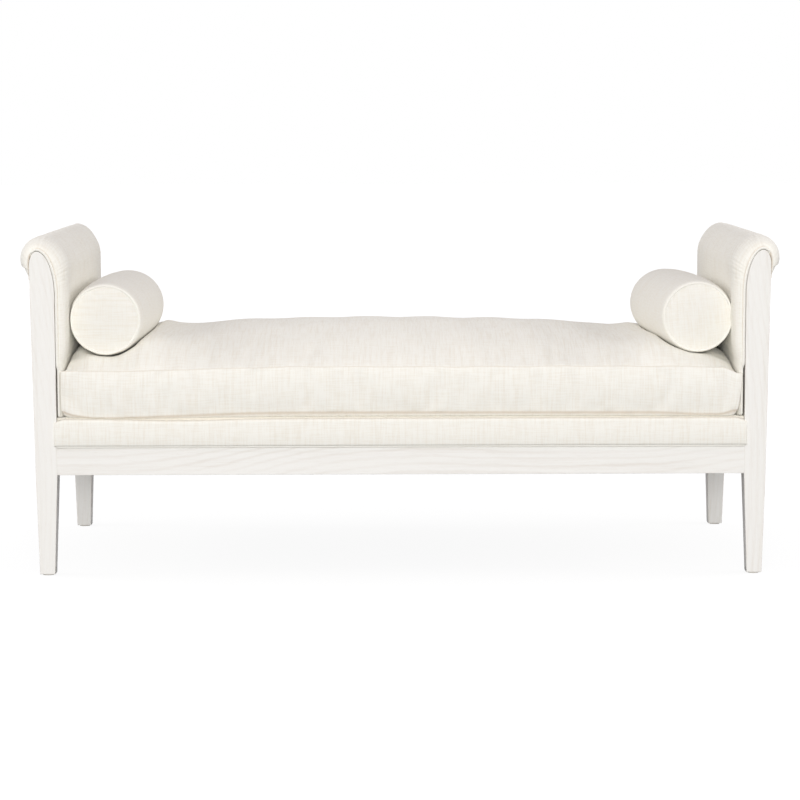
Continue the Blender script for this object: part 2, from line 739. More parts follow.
class DIVAN_OT_oak(bpy.types.Operator):
    """Four posts and four rails with eased edges"""

    bl_idname = "divan.oak"
    bl_label = "Oak frame"

    def execute(self, context):
        leg_top = RAIL_LOW[2]
        low, high = post_chains(SHOULDER_HEIGHT, ARCH_HEIGHT, CROWN_INSET, leg_top, FEET)
        height = np.concatenate([low, high[::-1]])[:, 1]
        front, back = POST_LOW[1], POST_HIGH[1]
        back = np.interp(height, [POST_LOW[2], leg_top], [FOOT_DEPTH + front, back])
        beside_rail = smooth(leg_top - 0.004, leg_top, height)
        beside_rail *= 1 - smooth(BORDER_HIGH[2], BORDER_HIGH[2] + 0.01, height)
        worn = 0.8 - 0.8 * beside_rail
        upright = inner_material("oak")
        for hand_name, hand in SIDES.items():
            for end_name, end in ENDS.items():
                node = f"{end_name}_{hand_name}_post"
                piece = board(f"oak_{node}", low, high, front, back, upright, sizes().ease, worn=worn)
                self.place(piece, hand, -end, node)
        long_oak = oak_material("oak_long", ALONG, 0.75, (0.85, 0.0, -0.02))
        edges = self.edges(RAIL_LOW[0], RAIL_HIGH[0], RAIL_LOW[2], RAIL_HIGH[2], 60)
        for end_name, end in ENDS.items():
            node = f"{end_name}_rail"
            piece = board(f"oak_{node}", *edges, RAIL_LOW[1], RAIL_HIGH[1], long_oak, RAIL_EASE, worn=0.1)
            self.place(piece, 1, -end, node)
        cross_oak = oak_material("oak_cross", ACROSS, 0.8)
        edges = self.edges(END_LOW[1], END_HIGH[1], END_LOW[2], END_HIGH[2], 30)
        for hand_name, hand in SIDES.items():
            node = f"{hand_name}_end_rail"
            piece = board(f"oak_{node}", *edges, END_LOW[0], END_HIGH[0], cross_oak, RAIL_EASE, True, 0.4)
            self.place(piece, hand, 1, node)
        return {"FINISHED"}

    def edges(self, start, stop, low, high, count):
        """The lower and upper edge of a straight rail."""
        along = np.linspace(start, stop, count)
        return [joined(along, np.full_like(along, z)) for z in (low, high)]

    def place(self, piece, hand, end, node):
        """Mirrors a board to its side and end and ties it to the bench."""
        move_points(piece, mirrored(mesh_points(piece.data), hand, end))
        settle(outward(piece), "bench", "oak", node)


# Borders and deck


# Distances of a border's columns from its end
BORDER_COLUMNS = (0.0, 0.0006, 0.0016, 0.003, 0.0045, 0.0054, 0.0062, 0.008, 0.011, 0.015, 0.02, 0.026, 0.032)
BORDER_UNDER_DECK = 0.003
BORDER_ROUND = 0.008
BORDER_DROOP = 0.013
DROOP_OVER = 0.030
TIP_OVER = 0.006
POST_GAP = 0.0004
FACE_PROUD = 0.0012
LOW_IN_WELT = 0.0018
DUST_SAG = 0.005


def border_columns(half):
    """Places along a border, close together where its ends turn."""
    end = half - np.array(BORDER_COLUMNS)
    middle = np.linspace(-end[-1], end[-1], 116)
    return np.concatenate([-end[:-1], middle, end[:-1][::-1]])


def border_top(x):
    """Height of a border's top: 3 mm under the deck, and lower where the cushion presses it down."""
    return BORDER_HIGH[2] - BORDER_UNDER_DECK - 0.004 * np.exp(-((x + 0.48) / 0.14) ** 2)


def border_skin():
    """The border at the front. Each column is a closed section: up the face with a sine swell, over a
    quarter ellipse at the top, and down the back. The top droops to the ends by a quarter ellipse,
    and the face comes back to the post by another. The mark is the seam under the top."""
    half = BORDER_HIGH[0]
    x = border_columns(half)[:, None]
    reach = np.abs(x)
    droop = np.clip((reach - half + DROOP_OVER) / DROOP_OVER, 0, 1)
    top = border_top(x) - BORDER_DROOP * (1 - np.sqrt(1 - droop ** 2))
    over_post = reach > POST_LOW[0] - 0.0003
    back = np.where(over_post, POST_LOW[1] - POST_GAP, BORDER_HIGH[1] + 0.0002)
    tip = np.clip((reach - half + TIP_OVER) / TIP_OVER, 0, 1)
    tip_face = POST_LOW[1] - FACE_PROUD
    face = tip_face + (BORDER_LOW[1] - tip_face) * np.sqrt(1 - 0.96 * tip ** 2)
    low = WELT_HIGH[2] - LOW_IN_WELT
    round_y = np.minimum(BORDER_ROUND, back - face)
    up = np.linspace(0, 1, 12)[None]
    rise = face - sizes().border_swell * np.sin(np.pi * up ** 0.9) * (1 - tip)
    wrinkle = 0.00035 * ripple(x, 0.035, 3) * np.exp(-up * 3) * (1 - tip) * (up > 0.01)
    face_run = joined(x, rise + wrinkle, low + (top - BORDER_ROUND - low) * up)
    turn = np.radians(np.linspace(0, 90, 9))[None, 1:]
    top_run = joined(
        x, face + round_y * (1 - np.cos(turn)), top - BORDER_ROUND * (1 - np.sin(turn)))
    down = np.linspace(0, 1, 6)[None, 1:]
    back_run = joined(x, back, top + (low - top) * down)
    under = joined(x, (face + back) / 2, np.full_like(x, low))
    rings = np.concatenate([face_run, top_run, back_run, under], 1)
    lengths = run_length(closed(rings), 1)
    places = joined(x, lengths)
    seam = 0.6 * np.exp(-(top - rings[..., 2]) / 0.005) * (rings[..., 1] < back - 0.001)
    skin = Skin()
    skin.tube(rings, places, seam)
    return skin


def deck_skin():
    """The deck cloth: a flat pad whose top falls 1.5 mm at its edges by a quarter ellipse."""
    x, y = np.meshgrid(DECK_HIGH[0] * crowded(60, 0.3), DECK_HIGH[1] * crowded(34, 0.3))
    near = np.minimum(DECK_HIGH[0] - np.abs(x), DECK_HIGH[1] - np.abs(y))
    q = 1 - np.clip(near / 0.004, 0, 1)
    wave = 0.0003 * (1 + ripple(x * 1.7 + y, 0.09, 5)) * (q < 0.5)
    top = DECK_HIGH[2] - 0.0015 * (1 - np.sqrt(1 - q * q)) - wave
    return slab(joined(x, y, top), joined(x, y, DECK_LOW[2]), joined(x, y), 0.45 * np.exp(-near / 0.01))


class DIVAN_OT_deck(bpy.types.Operator):
    """The two borders with their welts, the deck cloth and the dust cloth below"""

    bl_idname = "divan.deck"
    bl_label = "Deck"

    def execute(self, context):
        linen = cloth_material()
        radius = sizes().welt_radius
        middle = (WELT_LOW + WELT_HIGH) / 2
        path = joined(np.linspace(WELT_LOW[0], WELT_HIGH[0], 260), *middle[1:])
        for end_name, end in ENDS.items():
            piece = border_skin().build(f"{end_name}_border_linen", linen)
            move_points(piece, mirrored(mesh_points(piece.data), 1, -end))
            settle(outward(piece), "bench", "linen", f"{end_name}_border", fill=0.7)
            cord = welt(f"{end_name}_border_piping", mirrored(path, 1, -end), (0, 0, 1), radius, 11)
            settle(cord, "bench", "linen", f"{end_name}_border_welt")
        settle(outward(deck_skin().build("deck_linen", linen)), "bench", "linen", "deck_cover", fill=0.3)
        self.dust_cloth()
        return {"FINISHED"}

    def dust_cloth(self):
        """The black cloth below: it sags by up to 5 mm between the corner blocks and the brace."""
        x, y = np.meshgrid(DUST_HIGH[0] * crowded(50, 0.2), DUST_HIGH[1] * crowded(24, 0.2))
        hang = (1 - (x / DUST_HIGH[0]) ** 2) * (1 - (y / DUST_HIGH[1]) ** 2)
        sag = DUST_SAG * hang * (0.8 + 0.2 * ripple(x + 2 * y, 0.3, 8))
        skin = Skin()
        points = joined(x, y, DUST_HIGH[2] - 0.0003 - sag)
        skin.cells(skin.add(points)[::-1], joined(x, y)[::-1])
        piece = skin.build("dust_cloth", inner_material("dust_cloth"))
        wall = piece.modifiers.new("thickness", "SOLIDIFY")
        wall.thickness = 0.0006
        settle(piece, "bench", "dust_cloth", "dust_cover")


# Arms

ROW_COUNTS = (34, 66, 58, 9)
TURN_ROWS = 17
MIDDLE_ROWS = 38
# Depths of the two hidden rows behind a welt
HIDDEN_ROWS = (0.012, 0.002)
ROLL_RADIUS = 0.0468
ROLL_X = 0.771
ROLL_RISE = 0.016
WAIST_LOW, WAIST_HIGH = 0.4414, 0.5164
ARM_WAIST = 0.0015
ARM_CROWN = 0.0065
CROWN_LOW = 0.6
ROLL_ROUND = 0.085
ARM_TAIL = 0.003
ARM_RISE = {-1: 0.0035, 1: 0.0015}
REAR_ROUND = 0.035
WELT_GAP = 0.0008
SLOT = {-1: 0.0018, 1: 0.0028}
SLOT_TOP = 0.452
# Heights between which the roll's cloth goes in under it
TUCK_TOP, TUCK_END = 0.640, 0.6376
PRESSED_IN = 0.005
PUCKER_PITCH = 0.0085
REAR_PROUD = 0.7
CLOTH_THICKNESS = 0.0012
FOAM_THICKNESS = 0.004
PANEL_SWELL = 0.0024


def below_cushion(z):
    """1 where the seat cushion presses an arm's edge away from the post, 0 above it."""
    return 1 - smooth(SLOT_TOP - 0.008, SLOT_TOP + 0.004, z)


def post_edge(gap, outer_gap, slot, count):
    """The post's edge from the deck up the inner side, over the crown and down to the roll's
    underside, in four stretches. It stands off the post by a gap that eases to the outer gap
    over the shoulder, and by a slot more beside the cushion."""
    crown = POST_HIGH[0] - CROWN_INSET
    arch_z, shoulder_z = POST_HIGH[2] - ARCH_HEIGHT, POST_HIGH[2] - SHOULDER_HEIGHT
    inner = POST_LOW[0] - gap
    z = np.linspace(ARM_LOW[2], arch_z, 120)
    straight = joined(inner - slot * below_cushion(z), z)
    arch = quarter((crown, arch_z), (crown - inner, ARCH_HEIGHT + gap), 180, 90, 60)
    off = outer_gap + (gap - outer_gap) * np.linspace(1, 0, 30)
    shoulder = quarter((crown, shoulder_z), (POST_HIGH[0] + off - crown, SHOULDER_HEIGHT + off), 90, 0, 30)
    side = np.array([[POST_HIGH[0] + outer_gap, shoulder_z], [POST_HIGH[0] + outer_gap - POST_GAP, TUCK_TOP]])
    tuck = side[-1:] - [[0.0, 0.0], [0.0001, 0.0015]]
    return [resampled(part, n) for part, n in zip((straight, arch, stretches(shoulder, side), tuck), count)]


def arm_edge(count):
    """The arm's outline in the same four stretches: an inner face that thickens over the cushion by
    a smooth step, a quarter ellipse up to the top, the circle of the roll, and its underside."""
    full = ARM_LOW[0] - sizes().arm_swell
    waist = ARM_LOW[0] + ARM_WAIST
    arch_z = POST_HIGH[2] - ARCH_HEIGHT
    z = np.linspace(ARM_LOW[2], arch_z, 80)
    inner = joined(waist + (full - waist) * smooth(WAIST_LOW, WAIST_HIGH, z), z)
    top = ARM_HIGH[2]
    roll_z = top - ROLL_RADIUS
    upright = np.array([[full, arch_z], [full, roll_z - ROLL_RISE]])
    over = quarter((ROLL_X, roll_z - ROLL_RISE), (ROLL_X - full, ROLL_RADIUS + ROLL_RISE), 180, 90, 60)
    roll = quarter((ROLL_X, roll_z), (ROLL_RADIUS, ROLL_RADIUS), 90, -63, 90)
    tuck = quarter((ROLL_X, roll_z), (ROLL_RADIUS, ROLL_RADIUS), -63, -80, 20)
    return [resampled(part, n) for part, n in zip((inner, stretches(upright, over), roll, tuck), count)]


def arm_crown(z):
    """How far the padded inner face stands proud at a height: little beside the bolster, most above it."""
    beside, above = smooth(0.455, 0.49, z), smooth(0.56, 0.61, z)
    return ARM_CROWN * (CROWN_LOW * beside + (1 - CROWN_LOW) * above) * (1 - smooth(0.66, 0.71, z))


def arm_grid(hand):
    """An arm's cloth, drawn at the right, as rows across the arm: each row starts behind the front
    welt, turns over the padded edge by a quarter ellipse from the welt to the arm's outline, runs
    back and does the same at the rear. Puckers stand on the turned edge round the post's top. Gives
    the points, the places and the marks, with the two hidden rows at each end first and last."""
    count, tucked = ROW_COUNTS, ROW_COUNTS[-1]
    under = stretches(*arm_edge(count))
    outline = under.copy()
    outline[-tucked:] = resampled(np.array([under[-tucked], [POST_HIGH[0] + 0.0010, TUCK_END]]), tucked)
    beside_welt = WELT_GAP + 2 * sizes().welt_radius - 0.0007
    edge = stretches(*post_edge(beside_welt, 0.0008, SLOT[hand], count))
    hidden = stretches(*post_edge(WELT_GAP + 0.0006, 0.0005, SLOT[hand], count))
    end = ARM_HIGH[1]
    roll_z = ARM_HIGH[2] - ROLL_RADIUS
    away = outline - [ROLL_X, roll_z]
    away[outline[:, 1] < roll_z - ROLL_RISE] = (-1, 0)
    away = unit(away)
    inwards = away[:, 0] < 0
    proud = away * (arm_crown(outline[:, 1]) * inwards)[:, None]
    pressed = PRESSED_IN * below_cushion(edge[:, 1])
    turn = np.linspace(0, np.pi / 2, TURN_ROWS)[:, None]
    run = run_length(edge)
    arch_start, arch_stop = run[count[0] - 1], run[count[0] + count[1] - 2]
    deep = sizes().arm_round + (ROLL_ROUND - sizes().arm_round) * smooth(arch_start - 0.04, arch_stop, run)
    tail = away * (ARM_TAIL * inwards * (1 - smooth(arch_start, arch_stop, run)))[:, None]
    round_top = smooth(arch_start, arch_start + 0.05, run)
    round_top *= 1 - smooth(arch_stop + 0.01, arch_stop + 0.05, run)
    pucker = sizes().pucker * ripple(run, PUCKER_PITCH, 21) * (0.1 + 0.9 * round_top)
    lift = pucker * np.sin(np.minimum(turn * 1.6, np.pi / 2 + turn * 0.4)) * np.cos(turn) ** 0.5

    def cap(outer, press, deep):
        """The hidden rows and the turned edge, as places across the arm with a depth."""
        reach = outer - edge
        flat = edge + reach * np.sin(turn)[..., None] + unit(reach) * (lift * np.sin(turn))[..., None]
        depth = press * np.cos(turn) + deep * (1 - np.cos(turn)) - lift * np.cos(turn)
        tuck = [np.concatenate([hidden, (press + back)[:, None]], -1) for back in HIDDEN_ROWS]
        return np.concatenate([np.stack(tuck), np.concatenate([flat, depth[..., None]], -1)])

    rear_deep = np.minimum(deep, REAR_ROUND)
    front = cap(outline + proud - tail, pressed, deep)
    rear = cap(outline + REAR_PROUD * proud, pressed, rear_deep)
    share = np.linspace(0, 1, MIDDLE_ROWS + 2)[1:-1, None]
    depth = deep + (2 * end - deep - rear_deep) * share
    fade = (1 - (1 - REAR_PROUD) * smooth(0.5, 0.95, share))[..., None]
    lean = np.exp(-(depth - deep) / 0.04)[..., None]
    middle = np.concatenate([outline + proud * fade - tail * lean, depth[..., None]], -1)
    sheet = np.concatenate([front, middle, rear[::-1] * [1, 1, -1] + [0, 0, 2 * end]])
    from_end = np.minimum(sheet[..., 2], 2 * end - sheet[..., 2])
    sheet[..., :2] += (under - outline) * smooth(0.046, 0.060, from_end)[..., None]
    raised = ARM_RISE[hand] * smooth(0.05, 0.3, sheet[..., 2]) * smooth(0.69, 0.725, sheet[..., 1])
    sheet[..., 1] += raised * (sheet[..., 0] < ROLL_X)
    grid = joined(sheet[..., 0], sheet[..., 2] - end, sheet[..., 1])
    slack = 0.0006 * ripple(grid[..., 1] * 1.3 + run, 0.11, 4)
    slack *= smooth(0.25, 0.35, 1 - np.abs(grid[..., 1]) / end)
    grid[..., 0] += slack * away[:, 0]
    grid[..., 2] += slack * away[:, 1]
    places = joined(run_length(grid, 0).mean(1)[:, None], run_length(outline)[None])
    mark = np.zeros(len(grid))
    mark[:5] = (1, 1, 1, 0.5, 0.1)
    return grid, places, np.maximum(mark, mark[::-1])[:, None]


def arm_sheet(name, hand, grid, places, mark, material, thickness):
    """A thin shell on a grid of the right arm, moved to its hand, with its wall inwards."""
    skin = Skin()
    index = skin.add(mirrored(grid, hand), mark)
    if hand < 0:
        index, places = index[:, ::-1], places[:, ::-1]
    skin.cells(index, places)
    piece = skin.build(name, material)
    wall = piece.modifiers.new("thickness", "SOLIDIFY")
    wall.thickness = thickness
    wall.offset = -1
    subdivide(piece)
    return piece


def arm_foam(grid, places):
    """The foam under an arm's cloth: the same surface, moved in along its normal, which is the cross
    product of the steps down and across the grid."""
    inner, spots = grid[2:-2], places[2:-2]
    normal = unit(np.cross(np.gradient(inner, axis=1), np.gradient(inner, axis=0)))
    if normal[len(normal) // 2, 0, 0] > 0:
        normal = -normal
    inner = inner - normal * 0.0022
    inner[..., 1] = np.clip(inner[..., 1], ARM_LOW[1] + 0.003, ARM_HIGH[1] - 0.003)
    inner[..., 2] = np.maximum(inner[..., 2], ARM_LOW[2] + 0.002)
    return inner[1:-1, 1:-1], spots[1:-1, 1:-1]


def arm_piping(hand_name, hand, end_name, end):
    """The welt round the post's edge at one end of an arm. It runs from the deck over the crown and
    dives under the cloth of the roll."""
    radius = sizes().welt_radius
    edge = stretches(*post_edge(WELT_GAP + radius, radius + 0.0002, SLOT[hand], (60, 60, 120)))
    run = run_length(edge)
    stop = run[118] + 0.022
    edge, run = edge[run < stop], run[run < stop]
    dive = 0.006 * smooth(stop - 0.012, stop, run) + PRESSED_IN * below_cushion(edge[:, 1])
    path = mirrored(joined(edge[:, 0], -POST_LOW[1] - 0.0013 - dive, edge[:, 1]), hand, end)
    return welt(f"{hand_name}_arm_{end_name}_piping", path, (0, 1, 0), radius, 31 + hand + 3 * end)


def panel_skin(low, high, swell):
    """A padded panel between an arm's posts: its outer face swells by a sine both ways."""
    across, up = np.meshgrid(np.linspace(-1, 1, 40), np.linspace(0, 1, 30))
    puff = swell * (np.cos(across * np.pi / 2) * np.sin(up * np.pi)) ** 0.35
    puff += 0.0003 * ripple(across * 0.9 + up * 0.3, 0.12, 9) * (puff > swell / 3)
    y, z = high[1] * across, low[2] + (high[2] - low[2]) * up
    face = joined(high[0] - swell + puff, y, z)
    return slab(face, joined(low[0], y, z), joined(y, z), np.exp(-puff / swell * 4), 0.004)


class DIVAN_OT_arms(bpy.types.Operator):
    """Both arms: the foam, the padded cloth, the welts at each end and the outside panels"""

    bl_idname = "divan.arms"
    bl_label = "Arms"

    def execute(self, context):
        linen = cloth_material()
        for hand_name, hand in SIDES.items():
            grid, places, mark = arm_grid(hand)
            cloth = arm_sheet(f"{hand_name}_arm_linen", hand, grid, places, mark, linen, CLOTH_THICKNESS)
            settle(cloth, "bench", "linen", f"{hand_name}_arm_cover", fill=0.85)
            foam = arm_sheet(f"{hand_name}_arm_foam", hand, *arm_foam(grid, places), 0.0,
                             inner_material("foam"), FOAM_THICKNESS)
            settle(foam, "bench", "foam", f"{hand_name}_arm_pad", fill=0.85)
            for end_name, end in ENDS.items():
                piping = arm_piping(hand_name, hand, end_name, end)
                settle(piping, "bench", "linen", f"{hand_name}_arm_{end_name}_welt")
            panel = panel_skin(PANEL_LOW, PANEL_HIGH, PANEL_SWELL).build(f"{hand_name}_outside_linen", linen)
            move_points(panel, mirrored(mesh_points(panel.data), hand))
            settle(outward(panel), "bench", "linen", f"{hand_name}_outside_panel", fill=0.3)
        return {"FINISHED"}


# Where the bolsters lie

BOLSTER_BULGE = 0.009
# For each hand: the axis's distance from the middle at the front and the rear, then its heights
BOLSTER_REST = {-1: (0.6365, 0.6335, 0.5487, 0.5452), 1: (0.6425, 0.6213, 0.5515, 0.5455)}


def bolster_ends():
    """Radius of a bolster, and the places of its two welts along it."""
    radius = (BOLSTER_HIGH[2] - BOLSTER_LOW[2]) / 2
    return radius, RINGS_LOW[1] + sizes().welt_radius, RINGS_HIGH[1] - sizes().welt_radius


def bolster_axis(hand, y):
    """Distance of a bolster's axis from the middle of the bench, and its height. Each bolster lies
    as it was dropped, a little askew."""
    front, rear = bolster_ends()[1:]
    share = (y - front) / (rear - front)
    start, stop, high, low = (np.where(hand < 0, a, b) for a, b in zip(BOLSTER_REST[-1], BOLSTER_REST[1]))
    return start + (stop - start) * share, high + (low - high) * share


# Seat cushion

SEAM_LIFT = 0.010
BOXING = 0.096
CROWN = 0.0765
TOP_SEAM = 0.65
DRAW_IN = 0.0025
CURL = 0.0055
CORNER_PUSH = {-1: (0.009, 0.009), 1: (0.0155, 0.005)}
LOW_SEAM_AT = (-0.72, -0.69, -0.66, -0.60, -0.51, -0.43, -0.30, -0.15, 0.56, 0.63, 0.69, 0.72)
LOW_SEAM_LIFT = (0.012, 0.005, 0.001, 0.0025, 0.008, 0.0108, 0.012, 0.012, 0.0105, 0.006, 0.006, 0.012)
GROOVE_GAP = 0.0012
DEPTH_EASE = 0.003
# Shares of the boxing's height at which its rows stand, from the top seam down
BOXING_ROWS = (0.0, 0.025, 0.07, 0.15, 0.26, 0.38, 0.5, 0.62, 0.74, 0.85, 0.93, 0.975, 1.0)
# Distances of the cushion's first rows from its seams
SEAM_ROWS = (0.0, 0.0025, 0.006, 0.011)
MARK_WIDTH = 0.0025


def seat_sizes():
    """Half length, half depth and height of the top seam."""
    return SEAT_HIGH[0], SEAT_HIGH[1] - DEPTH_EASE, SEAT_LOW[2] + SEAM_LIFT + BOXING


def groove_height(x, y):
    """Height of the lowest cloth of a bolster over a place, far above it elsewhere: the axis less the
    root of r squared less the distance squared. Behind the bolster it rises away."""
    radius, front, rear = bolster_ends()
    axis, height = bolster_axis(np.sign(x), y)
    off = np.abs(np.abs(x) - axis)
    r = radius + BOLSTER_BULGE * smooth(front - 0.004, front + 0.03, y) + GROOVE_GAP
    under = height - np.sqrt(np.maximum(r * r - off * off, 0))
    return np.where(off < r, under, 1.0) + 0.06 * smooth(rear + 0.008, rear + 0.05, y)


def seat_seam(x, y):
    """Height of the top seam: it dips below the left bolster and drops at the right front corner."""
    front = smooth(0.2, 0.34, -y)
    dip = 0.007 * np.exp(-((x + 0.58) / 0.2) ** 2) + 0.012 * smooth(0.695, 0.722, x)
    share = np.abs(x / seat_sizes()[0])
    rise = 0.012 * share ** 6 * (1 - smooth(0.12, 0.33, np.abs(y)))
    return seat_sizes()[2] - 0.002 * share ** 4 - dip * front + rise


def seat_rest(x, y):
    """Height of what the cushion rests on: the deck, and the lower border in front of it."""
    over = smooth(DECK_HIGH[1] - 0.001, DECK_HIGH[1] + 0.004, np.abs(y)) * (np.abs(x) < BORDER_HIGH[0] - 0.03)
    level = np.where(y < 0, border_top(x), BORDER_HIGH[2] - BORDER_UNDER_DECK)
    return SEAT_LOW[2] + 0.0002 + (level - BORDER_HIGH[2]) * over


def seat_low(x, y):
    """Height of the bottom seam: lifted in the middle, lower to the left, and risen at the corners."""
    ends = 0.010 - 0.006 * smooth(0.3, 0.6, np.abs(x)) + 0.008 * smooth(0.69, 0.72, np.abs(x))
    front = smooth(0.2, 0.33, -y)
    return seat_rest(x, y) + ends * (1 - front) + np.interp(x, LOW_SEAM_AT, LOW_SEAM_LIFT) * front


def seat_height(x, y):
    """Height of the crowned top: the seam's height and the crown times (1 - 0.32 u^2 - c u^8)
    (1 - u^24)^0.5, a little fuller to the left, and across by 1 - v^2.2 in the middle and
    1.6 (1 - v^4), at most 1, beside the bolsters, with a dip next to each bolster and under it."""
    half_l, half_d = seat_sizes()[:2]
    u = np.clip(x / half_l, -1, 1)
    along = (1 - 0.32 * u * u - np.where(u < 0, 0.33, 0.68) * u ** 8) * np.maximum(0, 1 - u ** 24) ** 0.5
    along *= 1 - 0.045 * smooth(-0.3, 0.6, u)
    along -= np.where(u < 0, 0.105, 0.136) * np.exp(-((np.abs(u) - 0.68) / 0.1) ** 2)
    v = np.minimum(np.abs(y / half_d), 1)
    beside = smooth(0.5, 0.8, np.abs(u))
    across = (1 - v ** 2.2) * (1 - beside) + lower_of(1.6 * (1 - v ** 4), 1.0, 0.3) * beside
    return lower_of(seat_seam(x, y) + CROWN * along * across, groove_height(x, y), 0.004)


def seat_plan(u, v, share=0.0):
    """Plan places of the shares u and v at a share of the boxing's height from the top seam down: the
    long sides draw in, and the corners push out past the arms' edges at the front and rear."""
    half_l, half_d = seat_sizes()[:2]
    x, y = u * half_l, v * half_d
    push = smooth(0.69, 0.718, np.abs(x)) * smooth(0.331, 0.3405, np.abs(y))
    drawn = DRAW_IN * np.maximum(0, 1 - u * u) * np.abs(v) ** 12
    high, low = (np.where(x < 0, a, b) for a, b in zip(CORNER_PUSH[-1], CORNER_PUSH[1]))
    out = (high + (low - high) * share) * push
    return x + np.sign(x) * out, y - np.sign(y) * (drawn - 0.004 * push)


def seat_skin():
    """The seat cushion: a crowned top panel, a boxing that swells between its seams and a bottom
    panel that curls up to the bottom seam by a quarter ellipse. Both seams lie in a shallow groove.
    Gives the skin and the numbers of the points that the seams and the arms hold."""
    half_l, half_d = seat_sizes()[:2]
    shrink = sizes().seat_shrink
    gu, gv = np.meshgrid(seam_spread(126, half_l), seam_spread(62, half_d))
    x, y = seat_plan(gu, gv)
    near = np.minimum((1 - np.abs(gu)) * half_l, (1 - np.abs(gv)) * half_d)
    z = seat_height(x, y) - shrink * smooth(0.0, 0.05, near)
    rim = rim_of(*gu.shape)[:-1]
    ring_u, ring_v = gu.ravel()[rim], gv.ravel()[rim]
    ends, sides = np.abs(ring_u) > 0.9999, np.abs(ring_v) > 0.9999
    out = unit(joined(np.sign(ring_u) * ends, np.sign(ring_v) * sides))
    share = np.array(BOXING_ROWS)[:, None]
    ring_x, ring_y = np.broadcast_arrays(*seat_plan(ring_u, ring_v, share))
    high, low = z.ravel()[rim], seat_low(ring_x[0], ring_y[0])
    swell = (0.0035 - shrink * 0.6 * ~ends) * np.sin(np.pi * share) ** 0.5
    swell = np.where(sides, swell, -0.0005) - 0.0015 * ((share == 0) | (share == 1)) * sides
    boxing = joined(
        ring_x + out[:, 0] * swell, ring_y + out[:, 1] * swell, high + (low - high) * share)
    pleat = 0.7 * (ends & sides)
    skin = Skin()
    top_points = joined(x, y, z).reshape(-1, 3)
    top_points[rim] = boxing[0]
    top_places = joined(x, y)
    top = skin.add(top_points.reshape(*x.shape, 3), TOP_SEAM * np.exp(-near / MARK_WIDTH))
    high_seam, low_seam = (np.exp(-down * BOXING / MARK_WIDTH) for down in (share, 1 - share))
    mark = np.maximum(np.maximum(TOP_SEAM * high_seam, low_seam), pleat)
    rings = np.concatenate([top.ravel()[rim][None], skin.add(boxing[1:], mark[1:])])
    skin.cells(top, top_places)
    ring_run = run_length(closed(joined(ring_x[:1], ring_y[:1])), 1)
    skin.cells(closed(rings)[::-1], joined(ring_run, -share * BOXING)[::-1])
    q = np.clip(1 - near / CURL, 0, 1)
    x, y = seat_plan(gu, gv, 1.0)
    rest = seat_rest(x, y)
    bottom_z = rest + (seat_low(x, y) - rest) * (1 - np.sqrt(1 - q * q))
    inside = joined(x, y, bottom_z)[1:-1, 1:-1]
    under = np.zeros(gu.shape, int)
    below = np.maximum(np.exp(-near / 0.0015), 0.25 * np.exp(-near / 0.02))
    under[1:-1, 1:-1] = skin.add(inside, below[1:-1, 1:-1])
    under.ravel()[rim] = rings[-1]
    skin.cells(under[::-1], top_places[::-1])
    over_zip = (ring_v > 0.9999) & (np.abs(ring_x[0]) < ZIP_HIGH[0] + 0.01)
    seams, beside_arms, panel = rings[[0, -1]], rings[:, ends], under[1:-1, 1:-1]
    held = [part.ravel() for part in (seams, beside_arms, panel, rings[4:9][:, over_zip])]
    return skin, np.unique(np.concatenate(held))


def seam_spread(count, half):
    """Shares from -1 to 1 with close rows beside each seam."""
    close = 1 - np.array(SEAM_ROWS) / half
    middle = np.linspace(-close[-1], close[-1], count - 6)
    return np.concatenate([-close[:-1], middle, close[:-1][::-1]])


def seat_finish(points):
    """Small hollows and rises of a used cushion, then the limits of the arms, the deck and the bolsters."""
    half_l, half_d, seam = seat_sizes()
    x, y, z = points.T
    up = smooth(seam - 0.03, seam + 0.02, z)
    z = z + up * 0.0011 * (ripple(x + 0.3 * y, 0.19, 41) + 0.7 * ripple(y - 0.2 * x, 0.16, 42))
    front = smooth(half_d - 0.03, half_d - 0.004, np.abs(y))
    y = y + np.sign(y) * front * (1 - up) * 0.0006 * ripple(x, 0.09, 43)
    z = np.minimum(z, groove_height(x, y) - 0.0002)
    most = half_l + 0.0004 + 0.02 * smooth(0.322, 0.335, np.abs(y))
    x = np.clip(x, -most, most)
    z = np.maximum(z, seat_rest(x, y) - 0.0001)
    beside_zip = np.abs(z * 2 - ZIP_LOW[2] - ZIP_HIGH[2]) < 0.032
    flat = (y > half_d - 0.01) & (np.abs(x) < ZIP_HIGH[0] + 0.004) & beside_zip
    y = np.where(flat, np.minimum(y, ZIP_LOW[1] - 0.0004), y)
    return joined(x, y, z)


class DIVAN_OT_seat(bpy.types.Operator):
    """The loose seat cushion, swollen by a cloth simulation"""

    bl_idname = "divan.seat"
    bl_label = "Seat cushion"

    def execute(self, context):
        skin, held = seat_skin()
        piece = outward(skin.build("seat_cushion_linen", cloth_material()))
        inflate(piece, held, 4.0, 0.02, sizes().seat_cap)
        move_points(piece, seat_finish(mesh_points(piece.data)))
        subdivide(piece)
        settle(piece, "seat_cushion", "linen", "cushion_cover", fill=0.8)
        return {"FINISHED"}


# Zip


def stack(skin, outlines, axis, levels):
    """A solid of flat outlines, one at each level along an axis, with a lid at each end."""
    levels = np.array(levels)[:, None]
    rings = np.insert(outlines, axis, np.broadcast_to(levels, outlines.shape[:2]), axis=2)
    run = run_length(closed(rings), 1)
    skin.tube(rings, joined(run, levels))


